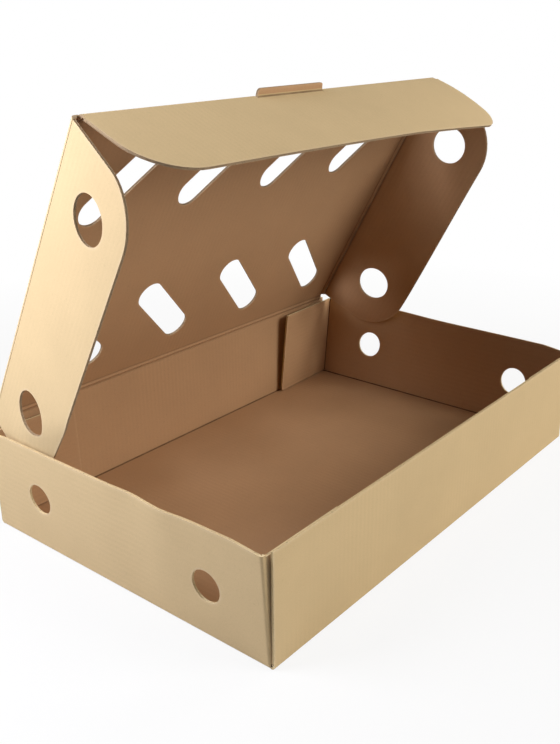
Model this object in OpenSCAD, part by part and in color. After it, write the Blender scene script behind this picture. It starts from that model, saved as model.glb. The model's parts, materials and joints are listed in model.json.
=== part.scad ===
// Shallow corrugated tray box with an attached lid, die-cut and folded from one sheet of kraft board.
// The origin is the middle of the base. X runs along the front wall, Y towards the hinge and Z is up.
// The lid is drawn part open: its side flaps dip into the tray and press the end walls outwards.

/* [Board] */
// Thickness of the corrugated board
board_t = 3; // [2:0.5:4]
// Free gap left at each crease between panels that turn against each other
crease_gap = 0.3; // [0.2:0.1:0.6]
// How far the bead of a crease stands proud of each face of the board
bead_swell = 0.2; // [0.1:0.1:0.5]
// Outer radius of the folds at the tray's corners and bottom edges
fold_r = 4; // [3.5:0.5:6]

/* [Tray] */
// Outside length of the tray along the front wall
tray_w = 600; // [480:10:700]
// Outside depth of the tray from front wall to rear wall
tray_d = 400; // [340:10:460]
// Height of the front and end walls
tray_h = 120; // [100:5:160]
// How far the rear wall stands above the other walls, so that the shut lid clears their rims
rear_rise = 4; // [2:1:8]
// Length of the glued tab that runs from each end wall along the front or rear wall
tab_len = 110; // [60:5:140]
// How far the top of a corner tab lies below the rim
tab_drop = 5; // [2:1:10]
// Where along the end wall it bows out most, as a share of its length from the front
bow_peak = 0.62; // [0.5:0.02:0.7]

/* [Lid] */
// Opening angle of the lid from shut
lid_open = 61; // [50:1:80]
// Free room between a shut side flap and the end wall
lid_side_room = 1.5; // [1:0.5:4]
// Free room between the lower edge of the front flap and the front tabs as it swings past them
swing_room = 1; // [0.5:0.5:4]
// Cut-away at each rear corner of the lid, along the hinge
relief_w = 12; // [6:1:20]

/* [Front flap] */
// Depth of the front flap below the middle of the lid's board
front_flap_depth = 105; // [70:5:110]
// Free room between each end of the front flap and the side flap beside it
front_flap_room = 3; // [2:0.5:10]
// How far each end of the front flap leans in over its depth
front_flap_slant = 9; // [0:1:30]
// Radius of the front flap's lower corners
front_flap_r = 42; // [10:2:50]

/* [Pull tab] */
// Width of the pull tab on the front crease
pull_w = 117; // [60:1:160]
// Length of the pull tab from the crease
pull_len = 13; // [8:1:16]
// Angle that the pull tab stands up from the lid's plane
pull_rise = 20; // [0:5:45]
// Radius of the pull tab's outer corners
pull_r = 5; // [2:1:6]
// Free room round the pull tab in the notch that it is cut from
pull_room = 1; // [0.5:0.5:2]

/* [Side flaps] */
// Depth of the side flaps below the middle of the lid's board
side_flap_depth = 119; // [80:1:119]
// Angle that each side flap leans outwards from square
side_flap_splay = 9.5; // [0:0.5:10]
// Distance from the hinge to the rear edge of a side flap
side_flap_rear = 8; // [7:1:20]
// Distance from the front crease back to the front edge of a side flap
side_flap_front = 5; // [4:1:20]
// Radius of the lower rear corner of a side flap
side_flap_rear_r = 60; // [20:2:70]
// Radius of the lower front corner of a side flap
side_flap_front_r = 50; // [20:2:70]
// Spare width between a splayed side flap and the end wall that it presses out
bow_room = 3; // [2.5:0.5:5]

/* [Vents] */
// Diameter of the vents in the end walls
wall_vent_d = 36; // [20:1:44]
// Diameter of the vents in the side flaps, wider so that they still line up when the lid is not quite shut
flap_vent_d = 46; // [24:1:50]
// Distance from each corner of the tray to the middle of the end wall vent beside it
vent_inset = 80.5; // [75:0.5:110]
// Height of the end wall vents above the base
vent_z = 61; // [50:1:70]
// Width of a lid slot
slot_w = 35; // [16:1:40]
// Length of a lid slot from end to end
slot_len = 132; // [80:1:140]
// Distance from each side of the lid to the middle of the nearest slot
slot_side = 91.5; // [80:0.5:110]
// Angle of a slot from the hinge line
slot_angle = 45; // [20:1:60]
// Distance from the hinge to the middle of the rear row of slots
rear_slot_row = 89; // [75:1:120]
// Distance from the front crease to the middle of the front row of slots
front_slot_row = 73; // [70:1:110]

/* [Hidden] */
$fn = 64;
kraft = "#c9a877";
kraft_pale = "#d9bc8c";
kraft_inner = "#a98258";
arc_steps = 6;
least_r = 0.5;
glue = 0.05;
cut = 1;
slots_in_row = 4;
bow_steps = 24;
wall_d = tray_d - 2 * board_t;
tab_inner_y = wall_d / 2 - board_t;
hinge_y = tray_d / 2 - board_t / 2;
bead_d = board_t + 2 * bead_swell;
bead_inset = board_t;
hinge_z = tray_h + rear_rise + crease_gap + bead_d / 2;
hinge_drop = board_t / 2 + crease_gap + bead_d / 2;
lid_half = tray_w / 2 - board_t - lid_side_room;
swing_r = hinge_y + tab_inner_y - swing_room;
lid_d = sqrt(swing_r * swing_r - front_flap_depth * front_flap_depth);
front_flap_half = lid_half - board_t - front_flap_room;
wall_bow = (side_flap_depth - hinge_drop) * sin(side_flap_splay) + bow_room;
bow_skew = (0.5 - bow_peak) / (bow_peak * (1 - bow_peak));
relief_s = side_flap_rear;
vent_y = tray_d / 2 - vent_inset;
slot_pitch = 2 * (lid_half - slot_side) / (slots_in_row - 1);

// Outward bow of an end wall's rim at a share t of its length from the front, as a share of the largest bow
function bow_share(t) = sin(180 * t * (1 + bow_skew * (1 - t)));

// Quarter turn of points about a corner's middle, anticlockwise from the start angle
function corner_arc(x, y, r, start) =
    [for (i = [0:arc_steps])
        let (a = start + 90 * i / arc_steps)
        [x + r * cos(a), y + r * sin(a)]];

// Points along the left or right end, from front to rear, with the rim's bow
function end_run(x, y, bow) =
    [for (i = [1:bow_steps - 1])
        let (t = i / bow_steps)
        [x + bow * bow_share(t), y * (2 * t - 1)]];

function backwards(points) = [for (i = [len(points) - 1:-1:0]) points[i]];

// Plan outline of the end walls and their tabs, inset all round and bowed at the ends, anticlockwise
function wall_ring(inset, bow) =
    let (
        r = max(fold_r - inset, least_r),
        x = tray_w / 2 - inset - r,
        y = wall_d / 2 + glue - inset - r)
    concat(
        corner_arc(x, -y, r, -90),
        end_run(x + r, y, bow),
        corner_arc(x, y, r, 0),
        corner_arc(-x, y, r, 90),
        backwards(end_run(-x - r, y, -bow)),
        corner_arc(-x, -y, r, 180));

// Solid block through the outlines at a list of levels, each with its height, inset and bow
module lofted_block(levels) {
    rings = [for (l = levels) wall_ring(l[1], l[2])];
    n = len(rings[0]);
    last = len(levels) - 1;
    points = [for (k = [0:last], p = rings[k]) [p[0], p[1], levels[k][0]]];
    bottom = [for (i = [0:n - 1]) i];
    top = [for (i = bottom) last * n + i];
    sides = [for (k = [0:last - 1], i = bottom, half = [0, 1])
        let (
            a = k * n + i,
            b = k * n + (i + 1) % n)
        half == 0 ? [a, a + n, b + n] : [a, b + n, b]];
    polyhedron(points, concat([bottom, backwards(top)], sides));
}

// Both end walls with their corner tabs, each bent from one strip
module end_walls() {
    inner_half = tray_w / 2 - board_t;
    tab_end = inner_half - tab_len;
    base_inset = fold_r / 2;
    difference() {
        lofted_block([
            [0, base_inset, 0],
            [base_inset, 0, 0],
            [tray_h, 0, wall_bow]]);
        lofted_block([
            [-cut, board_t, 0],
            [board_t, board_t, 0],
            [tray_h, board_t, wall_bow],
            [tray_h + cut, board_t, wall_bow]]);
        translate([-tab_end, -tray_d / 2, -cut])
            cube([2 * tab_end, tray_d, tray_h + 2 * cut]);
        translate([-inner_half + fold_r, -tray_d / 2, tray_h - tab_drop])
            cube([2 * (inner_half - fold_r), tray_d, tab_drop + cut]);
    }
}

// Section of the front or rear wall, with the outer face at zero and a rounded bottom fold
module wall_section(height) {
    translate([0, board_t])
        square([board_t + glue, height - board_t]);
    intersection() {
        translate([board_t, board_t])
            circle(board_t);
        square(board_t);
    }
    translate([board_t, 0])
        square([glue, board_t]);
}

module long_wall(height, half_w) {
    translate([-half_w, 0, 0])
        rotate([90, 0, 90])
            linear_extrude(2 * half_w)
                wall_section(height);
}

module tray() {
    color(kraft)
        difference() {
            union() {
                translate([-tray_w / 2 + board_t - glue, -wall_d / 2 - glue, 0])
                    cube([tray_w - 2 * (board_t - glue), wall_d + 2 * glue, board_t]);
                end_walls();
                translate([0, -tray_d / 2, 0])
                    long_wall(tray_h, tray_w / 2);
                mirror([0, 1, 0])
                    translate([0, -tray_d / 2, 0])
                        long_wall(tray_h, tray_w / 2);
                translate([-lid_half + relief_w, tray_d / 2 - board_t, tray_h - cut])
                    cube([2 * (lid_half - relief_w), board_t, rear_rise + cut]);
            }
            for (y = [-1, 1])
                translate([-tray_w, y * vent_y, vent_z])
                    rotate([0, 90, 0])
                        cylinder(h = 2 * tray_w, d = wall_vent_d);
        }
}

// Places the lid's own frame, in which -Y runs from the hinge to the front crease and Z is the outside
module on_lid() {
    translate([0, hinge_y, hinge_z])
        rotate([-lid_open, 0, 0])
            children();
}

// Oblong slot, lying along X
module slot() {
    run = slot_len - slot_w;
    square([run, slot_w], center = true);
    for (x = [-1, 1])
        translate([x * run / 2, 0])
            circle(d = slot_w);
}

module slot_row(distance, angle) {
    for (i = [0:slots_in_row - 1])
        translate([(i - (slots_in_row - 1) / 2) * slot_pitch, -distance])
            rotate(angle)
                slot();
}

module lid_panel() {
    notch_w = pull_w + 2 * pull_room;
    notch_d = pull_len + pull_room;
    color(kraft_inner)
        on_lid() {
            translate([0, 0, -board_t / 2])
                linear_extrude(board_t)
                    difference() {
                        translate([-lid_half, -lid_d])
                            square([2 * lid_half, lid_d]);
                        for (x = [-1, 1])
                            translate([x * lid_half, 0])
                                square([2 * relief_w, 2 * relief_s], center = true);
                        translate([-notch_w / 2, -lid_d - cut])
                            square([notch_w, notch_d + cut]);
                        slot_row(rear_slot_row, slot_angle);
                        slot_row(lid_d - front_slot_row, -slot_angle);
                    }
            rotate([0, 90, 0])
                cylinder(h = 2 * (lid_half - relief_w), d = bead_d, center = true);
        }
}

// Waste left outside a rounded corner at the origin, between the X axis and an edge that leans back from Y
module corner_waste(r, lean = 0) {
    reach = r * tan((90 - lean) / 2);
    difference() {
        polygon([
            [-cut, -cut],
            [reach, -cut],
            [reach, r],
            [-reach * sin(lean) - cut * cos(lean), reach * cos(lean) - cut * sin(lean)]]);
        translate([reach, r])
            circle(r);
    }
}

// Outline of the front flap: the crease lies along X and the flap hangs along -Y
module front_flap_outline() {
    drop = front_flap_depth - hinge_drop;
    lean = atan(front_flap_slant / drop);
    difference() {
        translate([-front_flap_half, -drop])
            square([2 * front_flap_half, drop]);
        for (x = [0, 1])
            mirror([x, 0])
                translate([-front_flap_half + front_flap_slant, -drop]) {
                    rotate(lean)
                        translate([-2 * front_flap_slant - cut, -cut])
                            square([2 * front_flap_slant + cut, drop + 2 * cut]);
                    corner_waste(front_flap_r, lean);
                }
    }
}

// Outline of the pull tab, which stands along Y from the same crease
module pull_tab_outline() {
    difference() {
        translate([-pull_w / 2, 0])
            square([pull_w, pull_len]);
        for (x = [0, 1])
            mirror([x, 0])
                translate([-pull_w / 2, pull_len])
                    mirror([0, 1])
                        corner_waste(pull_r);
    }
}

module front_flap() {
    color(kraft)
        on_lid()
            translate([0, -lid_d + board_t / 2, -hinge_drop]) {
                rotate([90, 0, 0])
                    linear_extrude(board_t, center = true)
                        front_flap_outline();
                rotate([180 - pull_rise, 0, 0])
                    linear_extrude(board_t, center = true)
                        pull_tab_outline();
                rotate([0, 90, 0])
                    cylinder(h = 2 * (front_flap_half - bead_inset), d = bead_d, center = true);
            }
}

// Outline of a side flap: X is the distance from the hinge, Y the drop below the crease
module side_flap_outline() {
    drop = side_flap_depth - hinge_drop;
    front = lid_d - side_flap_front;
    difference() {
        translate([side_flap_rear, 0])
            square([front - side_flap_rear, drop]);
        translate([side_flap_rear, drop])
            mirror([0, 1])
                corner_waste(side_flap_rear_r);
        translate([front, drop])
            mirror([1, 0])
                mirror([0, 1])
                    corner_waste(side_flap_front_r);
        for (y = [-1, 1])
            translate([hinge_y + y * vent_y, hinge_z - hinge_drop - vent_z])
                circle(d = flap_vent_d);
    }
}

// Left side flap, turned outwards about its crease
module side_flap() {
    front = lid_d - side_flap_front;
    on_lid()
        translate([-lid_half + board_t / 2, 0, -hinge_drop])
            rotate([0, side_flap_splay, 0]) {
                rotate([-90, 0, -90])
                    linear_extrude(board_t, center = true)
                        side_flap_outline();
                translate([0, -side_flap_rear, 0])
                    rotate([90, 0, 0])
                        cylinder(h = front - side_flap_rear, d = bead_d);
            }
}

module left_flap() {
    color(kraft_pale)
        side_flap();
}

module right_flap() {
    color(kraft_pale)
        mirror([1, 0, 0])
            side_flap();
}

tray();
lid_panel();
front_flap();
left_flap();
right_flap();
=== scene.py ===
"""Looks of a shallow corrugated tray box with a lid: kraft board, cut edges, creases, light and view."""

import json
import math

import bpy
import numpy as np
from mathutils import Matrix, Vector
from mathutils.geometry import delaunay_2d_cdt


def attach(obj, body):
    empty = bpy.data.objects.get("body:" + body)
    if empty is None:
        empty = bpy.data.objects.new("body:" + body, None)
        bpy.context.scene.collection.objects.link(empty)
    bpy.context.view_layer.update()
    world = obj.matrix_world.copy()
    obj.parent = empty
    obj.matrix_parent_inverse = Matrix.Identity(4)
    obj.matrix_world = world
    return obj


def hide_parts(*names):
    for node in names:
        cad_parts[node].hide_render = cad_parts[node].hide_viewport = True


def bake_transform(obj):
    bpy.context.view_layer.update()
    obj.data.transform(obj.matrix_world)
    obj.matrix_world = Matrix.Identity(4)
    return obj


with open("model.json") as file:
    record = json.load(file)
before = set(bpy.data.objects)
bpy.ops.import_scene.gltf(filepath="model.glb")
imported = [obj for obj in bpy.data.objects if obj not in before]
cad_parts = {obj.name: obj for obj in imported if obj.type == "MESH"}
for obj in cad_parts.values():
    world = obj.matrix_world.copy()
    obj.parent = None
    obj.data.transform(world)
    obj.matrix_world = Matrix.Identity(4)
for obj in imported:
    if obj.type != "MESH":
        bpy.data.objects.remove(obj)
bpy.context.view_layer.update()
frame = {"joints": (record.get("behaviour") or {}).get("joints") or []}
joints = {joint["name"]: joint for joint in frame["joints"]}

MM = 0.001
X, Y, Z = np.eye(3)
LEFT, RIGHT = -1, 1
FRONT, REAR = -1, 1
SIDES = {LEFT: "left", RIGHT: "right"}
ENDS = {FRONT: "front", REAR: "rear"}

# Corrugated board
BOARD = 3 * MM
LINER = 0.4 * MM
CUT_THICKNESS = 2.6 * MM
CUT_BAND = 3 * MM
GROOVE = 0.5 * MM
FLUTE_PITCH = 6.5 * MM
FLUTE_SHEET = 0.25 * MM
FLUTE_HEIGHT = 0.75 * MM
FLUTE_DEPTHS = (0.03 * MM, 0.48 * MM)
FLUTE_STEP = 0.9 * MM

# How finely the panels and folds are drawn
POINT_STEP = 6 * MM
GRID_STEP = 14 * MM
STATION_STEP = 12 * MM
ARC_STEP = math.radians(7)
FOLD_FACES = 8
SHARP_EDGE = math.radians(38)
EDGE_BOW = 0.0002 * MM
# A step by which slopes are measured, and a length that counts as none
SMALL = 0.1 * MM
TINY = 0.00001 * MM
# Least divisor of a mitred corner, which keeps a sharp one short
MITRE_LIMIT = 0.6
# Share of the band's width that its points keep from every edge of a panel
BAND_ROOM = 0.8
# A cut stretch of this many points or fewer shows no flutes
SHORT_RUN = 3

# Folds, by the radius of the middle of the board
TRAY_FOLD = 2.5 * MM
CORNER_FOLD = 1.7 * MM
LID_FOLD = 3.5 * MM
TAB_FOLD = 2 * MM
# How far from the corner of a fold its flat panels start
SPAN = 7 * MM
REAR_SPAN = SPAN - 1 * MM
TRAY_SPAN = 3.2 * MM
# Height of the bead in the hollow of a fold, crushed below 0, and depth of the scores beside it
LID_BEAD = 1.2 * MM
LID_SCORE = 0.9 * MM
TRAY_BEAD = -1 * MM
TRAY_SCORE = 0
PULL_BEAD = 0.2 * MM
PULL_SCORE = 0
# Painted shade, partly crushed paper, and score depth in a fold's hollow, at shares from flat panel to bend
SCORED = ((0, 0), (0.2, 0), (0.35, 1), (0.65, 1), (0.85, 0.1), (1, 0))
CRUSHED_AND_SHADED = ((0, 0), (0.3, 0.1), (0.55, 0.5), (0.8, 1), (1, 1))

# Tray
TRAY_W = 600 * MM
TRAY_D = 400 * MM
TRAY_H = 120 * MM
REAR_TOP = 123.5 * MM
WALL_END = TRAY_W / 2 - BOARD / 2
END_X = TRAY_W / 2 - BOARD / 2
LONG_Y = TRAY_D / 2 - BOARD / 2
FLOOR_Z = BOARD / 2
# Where the floor's flat panel ends and the flat panels of the walls start
FLOOR_X = END_X - TRAY_SPAN
FLOOR_Y = LONG_Y - TRAY_SPAN
WALL_LOW = FLOOR_Z + TRAY_SPAN
TRAY_FOLDED = {"spans": (TRAY_SPAN, TRAY_SPAN), "bead": TRAY_BEAD, "score": TRAY_SCORE}
# Gap between a corner tab and the wall that it is glued inside, at the bottom and at the top
TAB_GAP = (0.8 * MM, 2.6 * MM)
LOOSE_TAB_GAP = {(RIGHT, REAR): (2 * MM, 3.4 * MM)}
TAB_LENGTH = 110 * MM
# Length of the loose tab at its bottom and at its top
LOOSE_TAB_LENGTH = {(RIGHT, REAR): (112 * MM, 117 * MM)}
TAB_TOP = TRAY_H - 5 * MM
# Tops of the loose tab at its fold and at its free edge
LOOSE_TAB_TOP = {(RIGHT, REAR): (TRAY_H, TRAY_H + 2 * MM)}
TAB_R = 4 * MM
# Height of an end wall's rim at its glued corners, and the stretch over which it dips to that
CORNER_TOP = TRAY_H - 3 * MM
CORNER_DIP = 30 * MM
# How far the rim of an end wall leans out at its corners and between them, and the power of that rise
END_LEAN = {LEFT: (6.5 * MM, 7.3 * MM), RIGHT: (9 * MM, 16.5 * MM)}
LEAN_RISE = 0.4
# Dents in the rim by their place along it, half width and depth
RIM_DENTS = {
    LEFT: ((-75 * MM, 22 * MM, 2.6 * MM), (-30 * MM, 18 * MM, -1.2 * MM)),
    RIGHT: ((85 * MM, 60 * MM, 8 * MM),),
}
# How far the free edge of a corner tab stands off its wall, at the bottom and at the top
TAB_STAND = {(RIGHT, REAR): (3 * MM, 8 * MM), (LEFT, REAR): (2 * MM, 5 * MM)}
TAB_REST = (0.3 * MM, 0.6 * MM)
WALL_VENT = {LEFT: 34 * MM, RIGHT: 36 * MM}
VENT_LOWER = {(LEFT, FRONT): 4 * MM}
VENT_Y = 119.5 * MM
VENT_Z = 61 * MM
WALL_VENT_SHIFT = -5 * MM

# Lid
# Ends of the crease along the hinge
HINGE_END = {LEFT: -286.4 * MM, RIGHT: 292.5 * MM}
LID_SWELL = 1.2 * MM
# Share of the painted crease shade that the rear crease's hollow gets
REAR_CREASE_SHADE = 0.4
SLOTS_PER_ROW = 4
SLOT_LENGTH = 130.5 * MM
SLOT_WIDTH = 33.8 * MM
SLOT_ANGLE = math.radians(45)
REAR_SLOT_PITCH = 136 * MM
FRONT_SLOT_PITCH = 132 * MM
REAR_SLOT_ROW = 89 * MM
FRONT_SLOT_ROW = 300.6 * MM
REAR_SLOT_SHIFT = -8 * MM
FRONT_SLOT_SHIFT = -6.9 * MM

# Flaps
# Splay of each side flap at its rear and front ends in degrees, and the stretch over which it changes
SIDE_SPLAY = {LEFT: (11.3, 11.3), RIGHT: (8.5, 2.0)}
SPLAY_STRETCH = {LEFT: (40 * MM, 220 * MM), RIGHT: (60 * MM, 320 * MM)}
SIDE_CREASE_SPLAY = math.radians(9.5)
SIDE_DROP = {LEFT: 118 * MM, RIGHT: 115.5 * MM}
# How far out a side flap can be at a wall's rim, and how that grows above it and shrinks below it
RIM_ROOM = {LEFT: 7.9 * MM, RIGHT: 20 * MM}
ROOM_ABOVE = 0.3
ROOM_BELOW = 0.06
PRESS_SOFTNESS = 1.2 * MM
# Where each side crease and side flap starts, clear of the tray's rear tabs when the lid is shut
SIDE_CREASE_REAR = {LEFT: 2 * MM, RIGHT: 7.2 * MM}
SIDE_REAR = {LEFT: 8.6 * MM, RIGHT: 9.4 * MM}
# Where the top of each side flap starts, how far down its rear edge steps in, and the slant of that step
SIDE_TOP_REAR = {LEFT: 2.5 * MM, RIGHT: 7.5 * MM}
SIDE_STEP = {LEFT: 6.5 * MM, RIGHT: 2.2 * MM}
STEP_SLANT = 1 * MM
# Painted shade on the inside of a side flap along its crease, and the room that it has to turn there
HOLLOW_SHADE = 0.8
SIDE_TURN_ROOM = 0.7 * MM
# Where the front edge of a side flap is, at its top and at its free edge
SIDE_FRONT = (374 * MM, 371 * MM)
SIDE_REAR_R = {LEFT: 32 * MM, RIGHT: 60 * MM}
SIDE_FRONT_R = {LEFT: 50 * MM, RIGHT: 62 * MM}
SIDE_CREASE_END = 374.5 * MM
# Sizes of the flap vents along and down the flap, a little oval on the left, and how far they are shifted
FLAP_VENT = {LEFT: (43 * MM, 50.5 * MM), RIGHT: (46.5 * MM, 46.5 * MM)}
FLAP_VENT_SHIFT = {LEFT: (-2.7 * MM, -1.9 * MM), RIGHT: (-3.7 * MM, -0.7 * MM)}
# Where each side flap starts to get shallower towards the rear, and how deep it is there
TAPER_START = {LEFT: 115 * MM, RIGHT: 90 * MM}
TAPER_R = 100 * MM
REAR_DROP = {LEFT: 92 * MM, RIGHT: 114 * MM}
FRONT_DROP = 101.5 * MM
FRONT_HALF = 289.5 * MM
FRONT_LEFT = -288 * MM
FRONT_RIGHT = 290 * MM
# Depth of the front flap's right end, and the place and depth at which it starts to deepen
FRONT_RIGHT_DROP = 109.5 * MM
FRONT_DEEPER = (100 * MM, 103 * MM)
FRONT_LEFT_R = 56 * MM
FRONT_RIGHT_R = 28 * MM
# Turn from the lid to the front flap at its two ends, and how much less that is at the crease on the right
FRONT_TURN_LEFT = math.radians(84.5)
FRONT_TURN_RIGHT = math.radians(88.6)
FRONT_CURL = math.radians(9)
FRONT_TWIST_RISE = 2.5
FRONT_CREASE_END = 286.2 * MM
PULL_HALF = 54 * MM
PULL_SHIFT = -9 * MM
PULL_LENGTH = 9.5 * MM
PULL_RISE = math.radians(20)
PULL_R = {LEFT: 5 * MM, RIGHT: 2.5 * MM}
PULL_ROOM = 1 * MM

# The lid's own directions: along the hinge, from the hinge to the front crease, and out of the box
HINGE = np.array(joints["lid_hinge"]["pos_m"])
ALONG_LID = -np.array(joints["left_flap_hinge"]["axis"])
OFF_LID = np.cross(ALONG_LID, X)
FRONT_AXIS = np.array(joints["front_flap_hinge"]["pos_m"]) - HINGE
FRONT_S = float(FRONT_AXIS @ ALONG_LID)
FLAP_AXIS_X = abs(joints["right_flap_hinge"]["pos_m"][0])
HINGE_DROP = -float(FRONT_AXIS @ OFF_LID)
# Places on the lid and flaps that follow from the hinges: creases, flat panels and the pull tab's notch
SIDE_CREASE_X = FLAP_AXIS_X - HINGE_DROP * math.tan(SIDE_CREASE_SPLAY)
LID_SIDE = SIDE_CREASE_X - SPAN
LID_FRONT = FRONT_S - SPAN
FRONT_TOP = SPAN - HINGE_DROP
NOTCH = {side: PULL_SHIFT + side * (PULL_HALF + PULL_ROOM) for side in (LEFT, RIGHT)}
NOTCH_S = FRONT_S + BOARD / 2 - PULL_LENGTH - PULL_ROOM


def unit(vectors):
    return vectors / np.linalg.norm(vectors, axis=-1, keepdims=True)


def spread(low, high, step):
    """Evenly spaced values from low to high, no further apart than step."""
    return np.linspace(low, high, max(2, math.ceil(abs(high - low) / step) + 1))


def eased(share):
    """A share from 0 to 1 that starts and stops gently."""
    return share * share * (3 - 2 * share)


# Outlines of flat panels


def subdivided(loop, flags):
    """A closed loop with long edges split, and the flag of each edge given to its pieces.

    A slanted edge is bowed in by a hair, so that rounding leaves no slivers between its points.
    """
    points, kept = [], []
    for here, there, flag in zip(loop, np.roll(loop, -1, 0), flags):
        step = there - here
        count = max(1, math.ceil(np.linalg.norm(step) / POINT_STEP))
        share = np.arange(count)[:, None] / count
        bow = EDGE_BOW * count ** 2 if np.abs(step).min() > TINY else 0
        points.append(here + step * share + bow * share * (1 - share) * unit(np.array([-step[1], step[0]])))
        kept += [flag] * count
    kept = np.array(kept)
    return np.concatenate(points), kept & np.roll(kept, 1)


def outline(corners, creased=()):
    """A closed anticlockwise loop, and for each of its points whether the board is cut there.

    A corner is (u, v) or (u, v, radius). creased numbers the edges that run on into a fold, each by its
    first corner.
    """
    points, flags = [], []
    for i, corner in enumerate(corners):
        here = np.array(corner[:2])
        back = unit(np.array(corners[i - 1][:2]) - here)
        ahead = unit(np.array(corners[(i + 1) % len(corners)][:2]) - here)
        stretch = here[None]
        if len(corner) > 2:
            half = math.acos(back @ ahead) / 2
            middle = here + unit(back + ahead) * corner[2] / math.sin(half)
            arm = here + back * corner[2] / math.tan(half) - middle
            angles = spread(0, math.pi - 2 * half, ARC_STEP)
            side = np.array([-arm[1], arm[0]])
            stretch = middle + np.outer(np.cos(angles), arm) + np.outer(np.sin(angles), side)
        points.append(stretch)
        flags += [True] * (len(stretch) - 1) + [i not in creased]
    return subdivided(np.concatenate(points), flags)


def round_hole(u, v, size):
    """A round vent, or an oval one where size is a pair, clockwise as holes are."""
    angles = np.arange(0, -2 * math.pi, -ARC_STEP)
    loop = np.array([u, v]) + np.column_stack([np.cos(angles), np.sin(angles)]) * np.array(size) / 2
    return loop, np.ones(len(loop), bool)


def slot_hole(u, v, angle):
    """An oblong vent slot, clockwise as holes are."""
    turns = spread(-math.pi / 2, math.pi / 2, ARC_STEP)
    cap = np.column_stack([np.cos(turns), np.sin(turns)]) * SLOT_WIDTH / 2
    cap[:, 0] += (SLOT_LENGTH - SLOT_WIDTH) / 2
    loop = np.concatenate([cap, -cap])[::-1]
    lean = np.array([[math.cos(angle), math.sin(angle)], [-math.sin(angle), math.cos(angle)]])
    return subdivided(loop @ lean + np.array([u, v]), [True] * len(loop))


def inward(loop):
    """Directions into the board at each point of a loop, such that edges moved along them stay parallel."""
    step = unit(np.roll(loop, -1, 0) - loop)
    ahead = np.column_stack([-step[:, 1], step[:, 0]])
    behind = np.roll(ahead, 1, 0)
    return (ahead + behind) / np.maximum(1 + (ahead * behind).sum(1, keepdims=True), MITRE_LIMIT)


def within(points, loops):
    """Which points lie inside the first loop and outside the others."""
    odd = np.zeros(len(points), bool)
    for loop, _ in loops:
        for (u0, v0), (u1, v1) in zip(loop, np.roll(loop, -1, 0)):
            if v0 != v1:
                spans = (v0 > points[:, 1]) != (v1 > points[:, 1])
                odd ^= spans & (points[:, 0] < u0 + (points[:, 1] - v0) * (u1 - u0) / (v1 - v0))
    return odd


def clear_of(points, others, distance):
    gaps = np.linalg.norm(points[:, None] - others[None], axis=2)
    return gaps.min(1) > distance


# Meshes of board


class Shell:
    """Points, faces and finishes of one piece as it is put together."""

    OUTSIDE, INSIDE, CUT = 0, 1, 2

    def __init__(self):
        self.points, self.faces, self.kinds = [], [], []
        self.across, self.worn, self.creased = [], [], []
        self.count = 0

    def add(self, points, across, worn=0.0, creased=0.0):
        first = self.count
        self.points.append(points)
        self.across.append(np.broadcast_to(across, len(points)))
        self.worn.append(np.broadcast_to(worn, len(points)))
        self.creased.append(np.broadcast_to(creased, len(points)))
        self.count += len(points)
        return first + np.arange(len(points))

    def skin(self, faces, kind):
        faces = np.asarray(faces).tolist()
        self.faces += faces
        self.kinds += [kind] * len(faces)

    def strip(self, a, b, c, d, kind):
        self.skin(np.column_stack([a, b, c, d]), kind)

    def piece(self, name, slot):
        mesh = bpy.data.meshes.new(name)
        mesh.from_pydata(np.concatenate(self.points).tolist(), [], self.faces)
        for finish in (*LINERS, CUT_EDGES[slot]):
            mesh.materials.append(finish)
        mesh.polygons.foreach_set("material_index", self.kinds)
        mesh.shade_smooth()
        mesh.set_sharp_from_angle(angle=SHARP_EDGE)
        for label, values in (("across", self.across), ("worn", self.worn), ("creased", self.creased)):
            attribute = mesh.attributes.new(label, "FLOAT", "POINT")
            attribute.data.foreach_set("value", np.concatenate(values).astype(np.float32))
        made = bpy.data.objects.new(name, mesh)
        bpy.context.scene.collection.objects.link(made)
        return made


def lifted(middle, flat, height):
    """Panel points in space: on the panel's middle surface, then off it along the normal."""
    u, v = flat.T
    run = middle(u + SMALL, v) - middle(u - SMALL, v)
    rise = middle(u, v + SMALL) - middle(u, v - SMALL)
    return middle(u, v) + unit(np.cross(run, rise)) * np.broadcast_to(height, len(flat))[:, None]


def cut_runs(cut):
    """Numbers of the points along each cut stretch of a loop."""
    order = np.arange(len(cut))
    if cut.all():
        return [np.append(order, 0)]
    order = np.roll(order, -np.flatnonzero(~cut)[0])
    runs = np.split(order, np.flatnonzero(~cut[order]))
    return [run[1:] for run in runs if len(run) > SHORT_RUN]


def add_flutes(shell, middle, across, points, into):
    """The wavy sheet between the liners, as it shows in the groove of one cut edge."""
    lengths = np.append(0, np.cumsum(np.linalg.norm(np.diff(points, axis=0), axis=1)))
    at = spread(0, lengths[-1], FLUTE_STEP)
    place = np.column_stack([np.interp(at, lengths, points[:, k]) for k in (0, 1)])
    aim = np.column_stack([np.interp(at, lengths, into[:, k]) for k in (0, 1)])
    rows = []
    for face in (1, -1):
        for depth in FLUTE_DEPTHS[::face]:
            flat = place + aim * depth
            wave = FLUTE_HEIGHT * np.sin(2 * math.pi * flat[:, across] / FLUTE_PITCH)
            rows.append(shell.add(lifted(middle, flat, wave + face * FLUTE_SHEET / 2), flat[:, across]))
    for row, after in zip(rows, rows[1:] + rows[:1]):
        shell.strip(row[:-1], row[1:], after[1:], after[:-1], Shell.CUT)
    shell.skin([[row[0] for row in rows]], Shell.CUT)
    shell.skin([[row[-1] for row in reversed(rows)]], Shell.CUT)


def next_on_loop(loops):
    """For each point of all the loops in a row, the number of the point after it on its own loop."""
    firsts = np.cumsum([0] + [len(loop) for loop, _ in loops])
    return np.concatenate([np.roll(np.arange(a, b), -1) for a, b in zip(firsts, firsts[1:])])


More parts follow.
